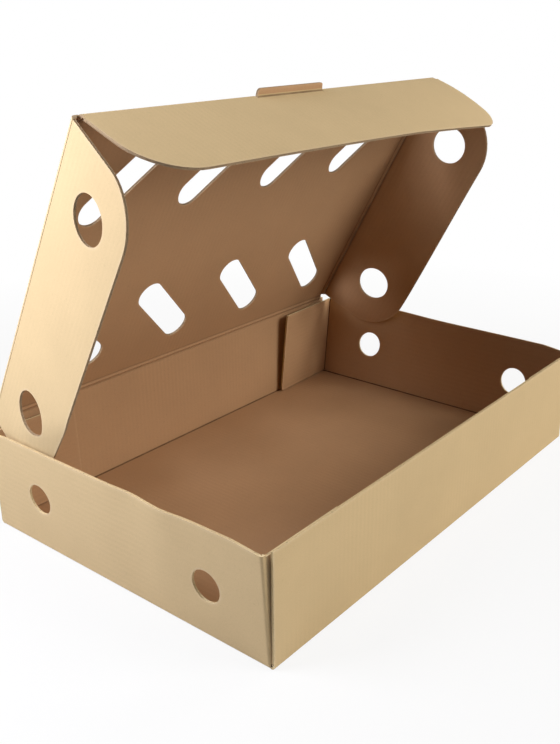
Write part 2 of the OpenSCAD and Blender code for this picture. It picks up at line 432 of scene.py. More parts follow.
def triangulated(loops, rim, into, following):
    """Points and triangles of a flat panel, and the number of the point at each place on its rim."""
    low, high = loops[0][0].min(0), loops[0][0].max(0)
    ticks = [spread(a, b, GRID_STEP) for a, b in zip(low, high)]
    lattice = np.stack(np.meshgrid(*ticks), -1).reshape(-1, 2)
    band = rim + into * CUT_BAND
    band = band[within(band, loops) & clear_of(band, rim, BAND_ROOM * CUT_BAND)]
    lattice = lattice[within(lattice, loops) & clear_of(lattice, rim, GRID_STEP / 2)]
    spots = np.concatenate([rim, band, lattice])
    lines = np.column_stack([np.arange(len(rim)), following]).tolist()
    flat, _, faces, sources, _, _ = delaunay_2d_cdt([Vector(p) for p in spots], lines, [], 0, TINY)
    flat = np.array(flat)
    faces = np.array(faces)
    faces = faces[within(flat[faces].mean(1), loops)]
    number = {source: i for i, group in enumerate(sources) for source in group}
    at_rim = np.array([number[i] for i in range(len(rim))])
    used = np.unique(faces)
    renumber = np.zeros(len(flat), int)
    renumber[used] = np.arange(len(used))
    return flat[used], renumber[faces], renumber[at_rim]


def board(name, slot, edge, middle, across, outside, holes=(), hollow=0.0):
    """A panel of corrugated board: two liners, and a groove with the wavy sheet round every cut edge.

    middle(u, v) gives the panel's middle surface. across is 0 where the flutes lie across u, and 1 where
    they lie across v. outside is 1 where the outside liner is on the side of the surface's normal, or else
    -1. hollow is how dark the inside liner is painted as shade along the edges that run on into a fold.
    """
    loops = [edge, *holes]
    rim = np.concatenate([loop for loop, _ in loops])
    cut = np.concatenate([flags for _, flags in loops])
    into = np.concatenate([inward(loop) for loop, _ in loops])
    following = next_on_loop(loops)
    flat, faces, at_rim = triangulated(loops, rim, into, following)
    half = np.full(len(flat), BOARD / 2)
    half[at_rim[cut]] = CUT_THICKNESS / 2
    worn = np.zeros(len(flat))
    worn[at_rim[cut]] = 1
    # Painted shade on the inside liner along the edges that run on into a fold
    shade = np.zeros(len(flat))
    shade[at_rim[~cut]] = hollow

    shell = Shell()
    lip = half[at_rim] - LINER
    deep = rim + into * GROOVE
    top_shade, bottom_shade = (0.0, shade)[::outside]
    top = shell.add(lifted(middle, flat, half), flat[:, across], worn, top_shade)
    bottom = shell.add(lifted(middle, flat, -half), flat[:, across], worn, bottom_shade)
    rings = [top[at_rim]]
    for place, height in ((rim, lip), (deep, lip), (deep, -lip), (rim, -lip)):
        rings.append(shell.add(lifted(middle, place, height), place[:, across]))
    rings.append(bottom[at_rim])
    liners = (Shell.OUTSIDE, Shell.INSIDE)[::outside]
    shell.skin(top[faces], liners[0])
    shell.skin(bottom[faces[:, ::-1]], liners[1])
    for ring, after in zip(rings, rings[1:]):
        shell.strip(ring, after, after[following], ring[following], Shell.CUT)
    for loop, flags in loops:
        toward = inward(loop)
        for run in cut_runs(flags):
            add_flutes(shell, middle, across, loop[run], toward[run])
    return shell.piece(name, slot)


def fold_section(corners, arrive, leave, radius, spans, bead, score):
    """Rows of a fold from panel to panel: places in mid board, directions out, ridges and painted shades."""
    turn = np.arccos((arrive * leave).sum(1))[:, None]
    reach = radius * np.tan(turn / 2)
    out = unit(arrive * np.cos(turn) - leave)
    out_end = np.cos(turn) * out + np.sin(turn) * arrive
    shades = SCORED if score else CRUSHED_AND_SHADED
    bend_shade = shades[-1][1]
    section = []
    for share, shade in shades:
        ridge = bead / 2 if share == 1 else -score * shade
        section.append((corners - arrive * (spans[0] + (reach - spans[0]) * share), out, ridge, shade))
    for share in spread(0, 1, 1 / FOLD_FACES)[1:-1]:
        angle = turn * share
        bend = np.sin(angle) * arrive - (1 - np.cos(angle)) * out
        facing = np.cos(angle) * out + np.sin(angle) * arrive
        ridge = bead * (1 + math.sin(math.pi * share)) / 2
        section.append((corners - arrive * reach + radius * bend, facing, ridge, bend_shade))
    for share, shade in reversed(shades):
        ridge = bead / 2 if share == 1 else -score * shade
        section.append((corners + leave * (spans[1] + (reach - spans[1]) * share), out_end, ridge, shade))
    return section


def fold(name, slot, corners, arrive, leave, radius, spans, outside=1, crossed=True,
         bead=LID_BEAD, score=LID_SCORE, dark=1.0):
    """A rounded fold along a line of corner points, from the panel that arrives to the panel that leaves.

    spans are the distances from the corner at which the flat panels start. outside is -1 where the outside
    liner is in the hollow of the fold. crossed says that the flutes run across the fold, and not along it.
    dark is how dark its hollow side is painted, as shade and partly crushed paper.
    """
    arrive = np.broadcast_to(arrive, corners.shape)
    leave = np.broadcast_to(leave, corners.shape)
    section = fold_section(corners, arrive, leave, radius, spans, bead, score)
    out = section[0][1]

    shell = Shell()
    start = float(corners[0] @ unit(corners[-1] - corners[0]))
    along = np.linalg.norm(corners - corners[0], axis=1) + start
    places = np.array([place for place, _, _, _ in section])
    over = np.append(0, np.cumsum(np.linalg.norm(np.diff(places[:, 0], axis=0), axis=1)))
    rows = []
    for face in (1, -1):
        for k in range(len(section))[::face]:
            place, facing, ridge, shade = section[k]
            height = BOARD / 2 if face > 0 else -BOARD / 2 - ridge
            # Painted shade, partly crushed paper, on the hollow side only
            creased = 0 if face > 0 else shade * dark
            rows.append(shell.add(place + facing * height, along if crossed else over[k], creased=creased))
    flip = np.cross(arrive[0], corners[1] - corners[0]) @ out[0] < 0
    liners = (Shell.OUTSIDE, Shell.INSIDE)[::outside]
    kinds = [liners[0]] * (len(section) - 1) + [Shell.CUT] + [liners[1]] * (len(section) - 1) + [Shell.CUT]
    for row, after, kind in zip(rows, rows[1:] + rows[:1], kinds):
        corners_of_face = (row[:-1], after[:-1], after[1:], row[1:])
        shell.strip(*(corners_of_face[::-1] if flip else corners_of_face), kind)
    outer, inner = rows[: len(section)], rows[: len(section) - 1 : -1]
    for end, turned in ((0, flip), (-1, not flip)):
        for k in range(len(section) - 1):
            face = [outer[k][end], inner[k][end], inner[k + 1][end], outer[k + 1][end]]
            shell.skin([face[::-1] if turned else face], Shell.CUT)
    return shell.piece(name, slot)


# Finishes

OUTSIDE_PAPER = (0.600, 0.447, 0.247)
OUTSIDE_RUBBED = (0.66, 0.51, 0.33)
INSIDE_PAPER = (0.480, 0.288, 0.152)
INSIDE_RUBBED = (0.58, 0.38, 0.22)
# Cut edges: the tray's lighter as painted light, the lid's and flaps' darker as painted shade and crushed
# flutes
LIT_RIM_PAPER = (0.70, 0.56, 0.33)
SHADED_EDGE_PAPER = (0.40, 0.29, 0.18)
# Dark colour of a fold's hollow: painted shade, partly crushed paper
CREASE_SHADE_AND_CRUSH_COLOUR = (0.11, 0.055, 0.022)
# How fine the noise is in each effect
GRAIN_SCALE = 900.0
FLECK_SCALE = 420.0
CLOUD_SCALE = 16.0
WANDER_SCALE = 22.0
FADE_SCALE = 9.0
RUB_SCALE = 160.0
CRUSH_AND_SHADE_SCALE = 45.0
# Levels of noise at which flecks and flute lines start to show, and show in full
FLECK_LEVELS = (0.66, 0.74)
FADE_LEVELS = (0.3, 0.7)
# How far the flute lines stray to the side
FLUTE_WANDER = 2 * MM
# How much the painted shade and crushing of a crease change along it, from its least
CRUSH_AND_SHADE_CHANGE = 0.9
CRUSH_AND_SHADE_LEAST = 0.5
# Share of the flute lines' tone, partly painted shade, taken off all over, and their height beside the
# paper's grain
RIDGE_SHARE = 1 / 3
RIDGE_HEIGHT = 0.6
BUMP_DEPTH = 0.2 * MM
WHITE = (1, 1, 1, 1)


def cleared(owner):
    """The node tree of a material or a world, with nothing in it."""
    owner.use_nodes = True
    owner.node_tree.nodes.clear()
    return owner.node_tree


def node(tree, kind, inputs=None, **settings):
    """A shader node with its settings, and its inputs set to values or linked to other nodes' outputs."""
    made = tree.nodes.new(kind)
    for label, value in settings.items():
        setattr(made, label, value)
    for label, value in (inputs or {}).items():
        if isinstance(value, bpy.types.NodeSocket):
            tree.links.new(value, made.inputs[label])
        else:
            made.inputs[label].default_value = value
    return made


def new_group(name, inputs, outputs):
    tree = bpy.data.node_groups.new(name, "ShaderNodeTree")
    for label, kind, value in inputs:
        socket = tree.interface.new_socket(label, in_out="INPUT", socket_type=kind)
        socket.default_value = value
    for label, kind in outputs:
        tree.interface.new_socket(label, in_out="OUTPUT", socket_type=kind)
    return tree, tree.nodes.new("NodeGroupInput").outputs, tree.nodes.new("NodeGroupOutput").inputs


def math_node(tree, operation, first, second=0.0, third=0.0):
    return node(tree, "ShaderNodeMath", {0: first, 1: second, 2: third}, operation=operation).outputs[0]


def noise(tree, where, scale, detail=2.0, roughness=0.5):
    inputs = {"Vector": where, "Scale": scale, "Detail": detail, "Roughness": roughness}
    return node(tree, "ShaderNodeTexNoise", inputs).outputs["Fac"]


def ranged(tree, value, levels, least=0.0):
    """A value as a share, from least at the first level to 1 at the second."""
    low, high = levels
    inputs = {"Value": value, "From Min": low, "From Max": high, "To Min": least}
    return node(tree, "ShaderNodeMapRange", inputs).outputs[0]


def kraft_fibres():
    """Paper of a kraft liner: fine fibres, dark flecks and slow clouds of tone."""
    tree, given, result = new_group(
        "kraft_fibres",
        [("Paper", "NodeSocketColor", (0.6, 0.43, 0.22, 1)), ("Fleck", "NodeSocketFloat", 0.2),
         ("Cloud", "NodeSocketFloat", 0.1), ("Grain", "NodeSocketFloat", 0.1)],
        [("Color", "NodeSocketColor"), ("Height", "NodeSocketFloat")])
    where = node(tree, "ShaderNodeTexCoord").outputs["Object"]
    grain = noise(tree, where, GRAIN_SCALE, detail=3.0, roughness=0.65)
    flecks = ranged(tree, noise(tree, where, FLECK_SCALE, detail=1.0), FLECK_LEVELS)
    cloud = noise(tree, where, CLOUD_SCALE, detail=3.0, roughness=0.6)
    grain_tone = math_node(tree, "MULTIPLY", math_node(tree, "SUBTRACT", grain, 0.5), given["Grain"])
    cloud_tone = math_node(tree, "MULTIPLY", math_node(tree, "SUBTRACT", cloud, 0.5), given["Cloud"])
    fleck_tone = math_node(tree, "MULTIPLY", flecks, given["Fleck"])
    tone = math_node(tree, "ADD", math_node(tree, "ADD", grain_tone, cloud_tone), 1.0)
    tone = math_node(tree, "SUBTRACT", tone, fleck_tone)
    coloured = node(tree, "ShaderNodeHueSaturation", {"Color": given["Paper"], "Value": tone})
    tree.links.new(coloured.outputs[0], result["Color"])
    tree.links.new(grain, result["Height"])
    return tree


def flute_lines():
    """Faint washboard that the wavy sheet prints through a liner: 1 on the ridges, 0 between them."""
    tree, given, result = new_group(
        "flute_lines", [("Pitch", "NodeSocketFloat", FLUTE_PITCH)], [("Ridge", "NodeSocketFloat")])
    across = node(tree, "ShaderNodeAttribute", attribute_name="across").outputs["Fac"]
    where = node(tree, "ShaderNodeTexCoord").outputs["Object"]
    wander = math_node(tree, "MULTIPLY", noise(tree, where, WANDER_SCALE), FLUTE_WANDER)
    turns = math_node(tree, "DIVIDE", math_node(tree, "ADD", across, wander), given["Pitch"])
    wave = math_node(tree, "SINE", math_node(tree, "MULTIPLY", turns, 2 * math.pi))
    ridge = math_node(tree, "MULTIPLY_ADD", wave, 0.5, 0.5)
    strength = ranged(tree, noise(tree, where, FADE_SCALE), FADE_LEVELS)
    tree.links.new(math_node(tree, "MULTIPLY", ridge, strength), result["Ridge"])
    return tree


def edge_rub():
    """Rubbed band along the cut edges, broken up by noise."""
    tree, given, result = new_group(
        "edge_rub", [("Amount", "NodeSocketFloat", 0.5)], [("Mask", "NodeSocketFloat")])
    worn = node(tree, "ShaderNodeAttribute", attribute_name="worn").outputs["Fac"]
    where = node(tree, "ShaderNodeTexCoord").outputs["Object"]
    broken = math_node(tree, "MULTIPLY", worn, noise(tree, where, RUB_SCALE, detail=3.0))
    tree.links.new(math_node(tree, "MULTIPLY", broken, given["Amount"]), result["Mask"])
    return tree


def crease_shade():
    """Painted shade and crushed paper in the hollow of a fold, a little uneven along it."""
    tree, given, result = new_group(
        "crease_shade", [("Amount", "NodeSocketFloat", 0.5)], [("Mask", "NodeSocketFloat")])
    creased = node(tree, "ShaderNodeAttribute", attribute_name="creased").outputs["Fac"]
    where = node(tree, "ShaderNodeTexCoord").outputs["Object"]
    change = noise(tree, where, CRUSH_AND_SHADE_SCALE, detail=3.0)
    uneven = math_node(tree, "MULTIPLY_ADD", change, CRUSH_AND_SHADE_CHANGE, CRUSH_AND_SHADE_LEAST)
    shade = math_node(tree, "MULTIPLY", creased, uneven)
    tree.links.new(math_node(tree, "MULTIPLY", shade, given["Amount"]), result["Mask"])
    return tree


def new_finish(name):
    finish = bpy.data.materials.new(name)
    tree = cleared(finish)
    shader = node(tree, "ShaderNodeBsdfPrincipled")
    node(tree, "ShaderNodeOutputMaterial", {"Surface": shader.outputs[0]})
    return finish, tree, shader.inputs


def placed(tree, group, **inputs):
    made = node(tree, "ShaderNodeGroup", node_tree=group)
    for label, value in inputs.items():
        made.inputs[label].default_value = value
    return made.outputs


def blended(tree, share, first, second):
    """A mix of two colours, each a value or another node's output."""
    made = node(tree, "ShaderNodeMix", {"Factor": share}, data_type="RGBA")
    for label, value in (("A_Color", first), ("B_Color", second)):
        socket = next(s for s in made.inputs if s.identifier == label)
        if isinstance(value, bpy.types.NodeSocket):
            tree.links.new(value, socket)
        else:
            socket.default_value = value
    return next(s for s in made.outputs if s.identifier == "Result_Color")


def kraft_liner(name, paper, rubbed, ridge_shade_tone, fleck):
    """A liner of kraft paper, with flute lines, rubbed edges, and painted shade with crushed paper in its
    creases.
    """
    finish, tree, shader = new_finish(name)
    fibres = placed(tree, FIBRES, Paper=(*paper, 1), Fleck=fleck, Cloud=0.12, Grain=0.22)
    ridges = placed(tree, FLUTES, Pitch=FLUTE_PITCH)["Ridge"]
    rub = placed(tree, RUB, Amount=0.8)["Mask"]
    # Lighter on the flute ridges and darker between: partly the liner's tone, partly painted shade of the
    # washboard
    tone = math_node(tree, "MULTIPLY_ADD", ridges, ridge_shade_tone, 1 - ridge_shade_tone * RIDGE_SHARE)
    shaded = node(tree, "ShaderNodeHueSaturation", {"Color": fibres["Color"], "Value": tone})
    colour = blended(tree, rub, shaded.outputs[0], (*rubbed, 1))
    # Painted shade in the hollow of folds, partly crushed paper
    colour = blended(tree, placed(tree, CREASES, Amount=0.75)["Mask"], colour, (*CREASE_SHADE_AND_CRUSH_COLOUR, 1))
    height = math_node(tree, "MULTIPLY_ADD", ridges, RIDGE_HEIGHT, fibres["Height"])
    bump = node(tree, "ShaderNodeBump", {"Strength": 0.25, "Distance": BUMP_DEPTH, "Height": height})
    tree.links.new(colour, shader["Base Color"])
    tree.links.new(bump.outputs[0], shader["Normal"])
    shader["Roughness"].default_value = 0.82
    shader["Specular IOR Level"].default_value = 0.18
    return finish


def cut_board(name, paper):
    """Raw edges of the liners and the wavy sheet between them."""
    finish, tree, shader = new_finish(name)
    fibres = placed(tree, FIBRES, Paper=(*paper, 1), Fleck=0.35, Cloud=0.2, Grain=0.5)
    height = fibres["Height"]
    bump = node(tree, "ShaderNodeBump", {"Strength": 0.4, "Distance": BUMP_DEPTH, "Height": height})
    tree.links.new(fibres["Color"], shader["Base Color"])
    tree.links.new(bump.outputs[0], shader["Normal"])
    shader["Roughness"].default_value = 0.95
    shader["Specular IOR Level"].default_value = 0.1
    return finish


FIBRES = kraft_fibres()
FLUTES = flute_lines()
RUB = edge_rub()
CREASES = crease_shade()
LINERS = (
    kraft_liner("kraft_outside", OUTSIDE_PAPER, OUTSIDE_RUBBED, 0.035, 0.06),
    kraft_liner("kraft_inside", INSIDE_PAPER, INSIDE_RUBBED, 0.05, 0.08),
)
# The tray's rims lighter as painted light, the lid's and flaps' cut edges darker as painted shade, partly
# crushed flutes
CUT_EDGES = {"tray_board": cut_board("cut_rim_painted_light", LIT_RIM_PAPER)}
CUT_EDGES["lid_board"] = CUT_EDGES["flap_board"] = cut_board("cut_edge_painted_shade", SHADED_EDGE_PAPER)


# Tray


def wall_bow(side, y):
    """How far the rim of an end wall leans out at places along it."""
    corner, middle = END_LEAN[side]
    lean = corner + (middle - corner) * np.clip(np.cos(math.pi * y / TRAY_D), 0, 1) ** LEAN_RISE
    for place, half_width, depth in RIM_DENTS[side]:
        lean = lean + depth * np.exp(-(((y - place) / half_width) ** 2))
    return lean


def wall_point(side, y, z):
    return np.stack(np.broadcast_arrays(side * (END_X + wall_bow(side, y) * z / TRAY_H), y, z), -1)


def wall_stop(side, end, z):
    """Where an end wall's flat panel stops, which is nearer its middle the further its tab stands off."""
    low, high = LOOSE_TAB_GAP.get((side, end), TAB_GAP)
    return end * (LONG_Y - BOARD - TRAY_SPAN - (low + (high - low) * z / TRAY_H))


def corner_top(side, end):
    return TRAY_H if (side, end) in LOOSE_TAB_TOP else CORNER_TOP


def tab_corner(side, end, z):
    """Corner points of the fold between an end wall and a tab, and the directions of wall and tab there."""
    wall_y = wall_stop(side, end, z)
    arrive = unit(wall_point(side, wall_y + end * SMALL, z) - wall_point(side, wall_y, z))
    low, high = TAB_STAND.get((side, end), TAB_REST)
    stand = (low + (high - low) * z / TRAY_H) / TAB_LENGTH
    leave = unit(np.stack(np.broadcast_arrays(-side * 1.0, -end * stand, 0 * z), -1))
    return wall_point(side, wall_y, z) + arrive * TRAY_SPAN, arrive, leave


def on_tab(side, end):
    def middle(u, v):
        corner, _, leave = tab_corner(side, end, v)
        return corner + leave * (-side * u)[:, None]
    return middle


def tray_floor():
    edge = outline([(-FLOOR_X, -FLOOR_Y), (FLOOR_X, -FLOOR_Y), (FLOOR_X, FLOOR_Y), (-FLOOR_X, FLOOR_Y)],
                   range(4))
    return board("tray_floor", "tray_board", edge,
                 lambda u, v: np.stack([u, v, 0 * u + FLOOR_Z], -1), 0, -1)


def tray_front_wall():
    edge = outline([(-WALL_END, WALL_LOW), (WALL_END, WALL_LOW), (WALL_END, TRAY_H), (-WALL_END, TRAY_H)],
                   (0,))
    return board("tray_front_wall", "tray_board", edge,
                 lambda u, v: np.stack([u, 0 * u - LONG_Y, v], -1), 0, 1)


def tray_rear_wall():
    """The rear wall, which stops lower along the hinge, where the lid's crease starts."""
    hinge_low = HINGE[2] - REAR_SPAN
    edge = outline([(-WALL_END, WALL_LOW), (WALL_END, WALL_LOW), (WALL_END, REAR_TOP),
                    (HINGE_END[RIGHT], REAR_TOP), (HINGE_END[RIGHT], hinge_low),
                    (HINGE_END[LEFT], hinge_low), (HINGE_END[LEFT], REAR_TOP),
                    (-WALL_END, REAR_TOP)], (0, 4))
    return board("tray_rear_wall", "tray_board", edge,
                 lambda u, v: np.stack([u, 0 * u + LONG_Y, v], -1), 0, -1)


def long_bottom_fold(end, word):
    xs = spread(-WALL_END, WALL_END, STATION_STEP)
    line = np.column_stack([xs, np.full_like(xs, end * LONG_Y), np.full_like(xs, FLOOR_Z)])
    return fold(f"tray_{word}_bottom_fold", "tray_board", line, end * Y, Z, TRAY_FOLD, **TRAY_FOLDED)


def tray_end(side, word):
    """An end wall with two vents, its rim a little lower at the corners that have no loose tab."""
    front_low, rear_low = wall_stop(side, FRONT, WALL_LOW), wall_stop(side, REAR, WALL_LOW)
    front_z, rear_z = corner_top(side, FRONT), corner_top(side, REAR)
    front_top, rear_top = wall_stop(side, FRONT, front_z), wall_stop(side, REAR, rear_z)
    edge = outline([(front_low, WALL_LOW), (rear_low, WALL_LOW), (rear_top, rear_z),
                    (rear_top - CORNER_DIP, TRAY_H), (front_top + CORNER_DIP, TRAY_H),
                    (front_top, front_z)], (0, 1, 5))
    vents = []
    for end in (FRONT, REAR):
        height = VENT_Z - VENT_LOWER.get((side, end), 0)
        vents.append(round_hole(end * VENT_Y + WALL_VENT_SHIFT, height, WALL_VENT[side]))
    return board(f"tray_{word}_end", "tray_board", edge,
                 lambda u, v: wall_point(side, u, v), 1, side, vents)


def end_bottom_fold(side, word):
    ys = spread(-FLOOR_Y, FLOOR_Y, STATION_STEP)
    line = np.column_stack([np.full_like(ys, side * END_X), ys, np.full_like(ys, FLOOR_Z)])
    upward = unit(wall_point(side, ys, np.full_like(ys, TRAY_H)) - wall_point(side, ys, 0 * ys))
    return fold(f"tray_{word}_bottom_fold", "tray_board", line, side * X, upward, TRAY_FOLD,
                crossed=False, **TRAY_FOLDED)


def corner_fold(side, end, name):
    zs = spread(WALL_LOW, corner_top(side, end), STATION_STEP)
    corner, arrive, leave = tab_corner(side, end, zs)
    return fold(name, "tray_board", corner, arrive, leave, CORNER_FOLD, **TRAY_FOLDED)


def corner_tab(side, end, name):
    root = -side * TRAY_SPAN
    low_length, top_length = LOOSE_TAB_LENGTH.get((side, end), (TAB_LENGTH, TAB_LENGTH))
    root_top, free_top = LOOSE_TAB_TOP.get((side, end), (TAB_TOP, TAB_TOP))
    corners = [(root, WALL_LOW), (-side * low_length, WALL_LOW, TAB_R),
               (-side * top_length, free_top, TAB_R), (root, root_top)]
    edge = outline(corners if side == LEFT else corners[::-1], (3,))
    return board(name, "tray_board", edge, on_tab(side, end), 1, -end)


def tray_pieces():
    made = [tray_floor(), tray_front_wall(), tray_rear_wall()]
    for end, word in ENDS.items():
        made.append(long_bottom_fold(end, word))
    for side, word in SIDES.items():
        made.append(tray_end(side, word))
        made.append(end_bottom_fold(side, word))
        for end, place in ENDS.items():
            made.append(corner_fold(side, end, f"tray_{word}_{place}_corner_fold"))
            made.append(corner_tab(side, end, f"tray_{word}_{place}_tab"))
    for piece in made:
        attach(piece, "tray")
    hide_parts("tray")


# Lid and flaps


def on_lid(x, s, n=0.0):
    """Points at x along the hinge, s from it along the lid and n out of the box."""
    x, s, n = np.broadcast_arrays(x, s, n)
    return HINGE + x[..., None] * X + s[..., None] * ALONG_LID + n[..., None] * OFF_LID


def front_way(x, d=0.0):
    """Direction down the front flap at x along it and d down it, as it twists and curls at its right."""
    share = np.clip((np.asarray(x) + FRONT_HALF) / (2 * FRONT_HALF), 0, None) ** FRONT_TWIST_RISE
    twist = FRONT_TURN_LEFT + (FRONT_TURN_RIGHT - FRONT_TURN_LEFT) * share
    turn = twist - FRONT_CURL * share * (1 - d / FRONT_DROP)
    return np.cos(turn)[..., None] * ALONG_LID - np.sin(turn)[..., None] * OFF_LID


def front_corner(x):
    """Corner points of the front crease, from which the flap passes through its hinge axis."""
    way = front_way(x)
    return on_lid(x, FRONT_S + HINGE_DROP * (way @ ALONG_LID) / (way @ OFF_LID))


def side_way(side, s):
    """Direction from a side crease down the side flap, which twists from rear to front."""
    start, end = SPLAY_STRETCH[side]
    share = eased(np.clip((np.asarray(s) - start) / (end - start), 0, 1))
    rear, front = SIDE_SPLAY[side]
    splay = np.radians(rear + (front - rear) * share)[..., None]
    return side * np.sin(splay) * X - np.cos(splay) * OFF_LID


def rim_press(side, places):
    """How far the rim of an end wall presses a side flap in at places on it."""
    above = places[:, 2] - TRAY_H
    room = RIM_ROOM[side] + np.where(above > 0, ROOM_ABOVE, ROOM_BELOW) * above
    excess = side * places[:, 0] - SIDE_CREASE_X - room
    return PRESS_SOFTNESS * np.logaddexp(0, excess / PRESS_SOFTNESS)


def lid_surface(u, v):
    """The lid's panel, which swells a little between its creases."""
    swell = np.cos(math.pi * u / (2 * LID_SIDE)) * np.sin(math.pi * (v - SPAN) / (LID_FRONT - SPAN))
    return on_lid(u, v, LID_SWELL * np.clip(swell, 0, 1))


def lid_top():
    edge = outline([(-LID_SIDE, SPAN), (LID_SIDE, SPAN), (LID_SIDE, LID_FRONT), (NOTCH[RIGHT], LID_FRONT),
                    (NOTCH[RIGHT], NOTCH_S), (NOTCH[LEFT], NOTCH_S), (NOTCH[LEFT], LID_FRONT),
                    (-LID_SIDE, LID_FRONT)], (0, 1, 2, 6, 7))
    slots = []
    for i in range(SLOTS_PER_ROW):
        from_middle = i - (SLOTS_PER_ROW - 1) / 2
        rear_x = from_middle * REAR_SLOT_PITCH + REAR_SLOT_SHIFT
        front_x = from_middle * FRONT_SLOT_PITCH + FRONT_SLOT_SHIFT
        slots.append(slot_hole(rear_x, REAR_SLOT_ROW, -SLOT_ANGLE))
        slots.append(slot_hole(front_x, FRONT_SLOT_ROW, SLOT_ANGLE))
    lid = board("lid_top", "lid_board", edge, lid_surface, 0, -1, slots)
    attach(lid, "lid")
    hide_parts("lid_panel")


def lid_rear_crease():
    xs = spread(HINGE_END[LEFT], HINGE_END[RIGHT], STATION_STEP)
    crease = fold("lid_rear_crease", "lid_board", on_lid(xs, 0 * xs), Z, ALONG_LID, LID_FOLD,
                  (REAR_SPAN, SPAN), dark=REAR_CREASE_SHADE)
    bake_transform(crease)


def side_flap(side, word):
    """A side flap with two vents, pressed in by its end wall where it passes the rim."""
    rear, drop = SIDE_REAR[side], SIDE_DROP[side]
    top, top_rear = SIDE_TURN_ROOM, SIDE_TOP_REAR[side]
    top_front, low_front = SIDE_FRONT
    corners = [(top_rear, top), (top_front, top), (low_front, drop, SIDE_FRONT_R[side]),
               (TAPER_START[side], drop, TAPER_R), (rear, REAR_DROP[side], SIDE_REAR_R[side]),
               (rear, SIDE_STEP[side]), (top_rear, SIDE_STEP[side] - STEP_SLANT)]
    vent_s, vent_drop = FLAP_VENT_SHIFT[side]
    vents = [round_hole(HINGE[1] + y + vent_s, HINGE[2] - HINGE_DROP - VENT_Z + vent_drop, FLAP_VENT[side])
             for y in (-VENT_Y, VENT_Y)]

    def surface(u, v):
        straight = on_lid(side * SIDE_CREASE_X, u) + (v + HINGE_DROP)[:, None] * side_way(side, u)
        return straight - rim_press(side, straight)[:, None] * side * X

    flap = board(f"{word}_side_flap", "flap_board", outline(corners, (0,)), surface, 1, side, vents,
                 HOLLOW_SHADE)
    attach(flap, f"{word}_flap")
    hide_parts(f"{word}_flap")


def side_crease(side, word):
    ss = spread(SIDE_CREASE_REAR[side], SIDE_CREASE_END, STATION_STEP)
    crease = fold(f"{word}_side_crease", "flap_board", on_lid(side * SIDE_CREASE_X, ss), side * X,
                  side_way(side, ss), LID_FOLD, (SPAN, HINGE_DROP), crossed=False)
    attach(crease, "lid")


def front_flap():
    edge = outline([(FRONT_LEFT, FRONT_TOP), (FRONT_RIGHT, FRONT_TOP),
                    (FRONT_RIGHT, FRONT_RIGHT_DROP, FRONT_RIGHT_R), FRONT_DEEPER,
                    (FRONT_LEFT, FRONT_DROP, FRONT_LEFT_R)], (0,))

    def surface(u, v):
        return front_corner(u) + (v + HINGE_DROP)[:, None] * front_way(u, v)

    flap = board("front_flap_panel", "flap_board", edge, surface, 0, -1)
    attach(flap, "front_flap")
    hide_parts("front_flap")


def front_creases():
    """The crease on each side of the pull tab."""
    stretches = {"left": (-FRONT_CREASE_END, NOTCH[LEFT]), "right": (NOTCH[RIGHT], FRONT_CREASE_END)}
    for word, (low, high) in stretches.items():
        xs = spread(low, high, STATION_STEP)
        crease = fold(f"front_crease_{word}", "flap_board", front_corner(xs), ALONG_LID, front_way(xs),
                      LID_FOLD, (SPAN, SPAN))
        middle = on_lid((low + high) / 2, FRONT_S)
        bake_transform(crease)


def pull_tab():
    """The tab that stands up from the front flap, with its inside liner to the front."""
    axis = on_lid(PULL_SHIFT, FRONT_S, -HINGE_DROP)
    pull_way = math.cos(PULL_RISE) * ALONG_LID + math.sin(PULL_RISE) * OFF_LID
    edge = outline([(-PULL_HALF, FRONT_TOP), (PULL_HALF, FRONT_TOP), (PULL_HALF, PULL_LENGTH, PULL_R[RIGHT]),
                    (-PULL_HALF, PULL_LENGTH, PULL_R[LEFT])], (0,))
    pull = board("pull_tab", "flap_board", edge,
                 lambda u, v: axis + u[:, None] * X + v[:, None] * pull_way, 0, -1)
    xs = spread(-PULL_HALF, PULL_HALF, STATION_STEP)
    root = fold("pull_tab_fold", "flap_board", axis + xs[:, None] * X, -pull_way, front_way(xs), TAB_FOLD,
                (FRONT_TOP, FRONT_TOP), outside=-1, bead=PULL_BEAD, score=PULL_SCORE)
    for piece in (pull, root):
        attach(piece, "front_flap")


tray_pieces()
lid_top()
lid_rear_crease()
for flap_side, flap_word in SIDES.items():
    side_flap(flap_side, flap_word)
    side_crease(flap_side, flap_word)
front_flap()
front_creases()
pull_tab()


# Stage, light and view

BOX_MIDDLE = Vector((0, 0, TRAY_H))
FLOOR_HALF = 4.0
FLOOR_ROOM = 0.2 * MM
FLOOR_PAPER = (0.82, 0.82, 0.82)
# How white the floor looks beside the box, and the distances between which it becomes all white
FLOOR_WHITE_NEAR = 0.85
FLOOR_FADE = (0.45, 1.1)
AMBIENT = 0.005
COOL = (0.98, 1.0, 1.1)
WARM = (1.0, 0.975, 0.93)
# Soft lights by direction seen from above, height above the horizon, distance, size, power and colour
LIGHTS = {
    "key_left_behind": (-115, 35, 0.95, 0.5, 8.1, COOL),
    "fill_front_right": (25, 25, 3.0, 1.4, 57, WARM),
    "side_right": (75, 27, 3.0, 1.4, 27, WARM),
    "high_right": (40, 60, 3.0, 1.4, 12, WARM),
}


def seen_directly(tree):
    """1 where the camera, a mirror or clear glass looks straight at a surface."""
    path = node(tree, "ShaderNodeLightPath").outputs
    mirrored = math_node(tree, "MAXIMUM", path["Is Glossy Ray"], path["Is Transmission Ray"])
    return math_node(tree, "MAXIMUM", path["Is Camera Ray"], mirrored)


def mixed_shader(tree, share, first, second):
    inputs = {0: share, 1: first.outputs[0], 2: second.outputs[0]}
    return node(tree, "ShaderNodeMixShader", inputs).outputs[0]


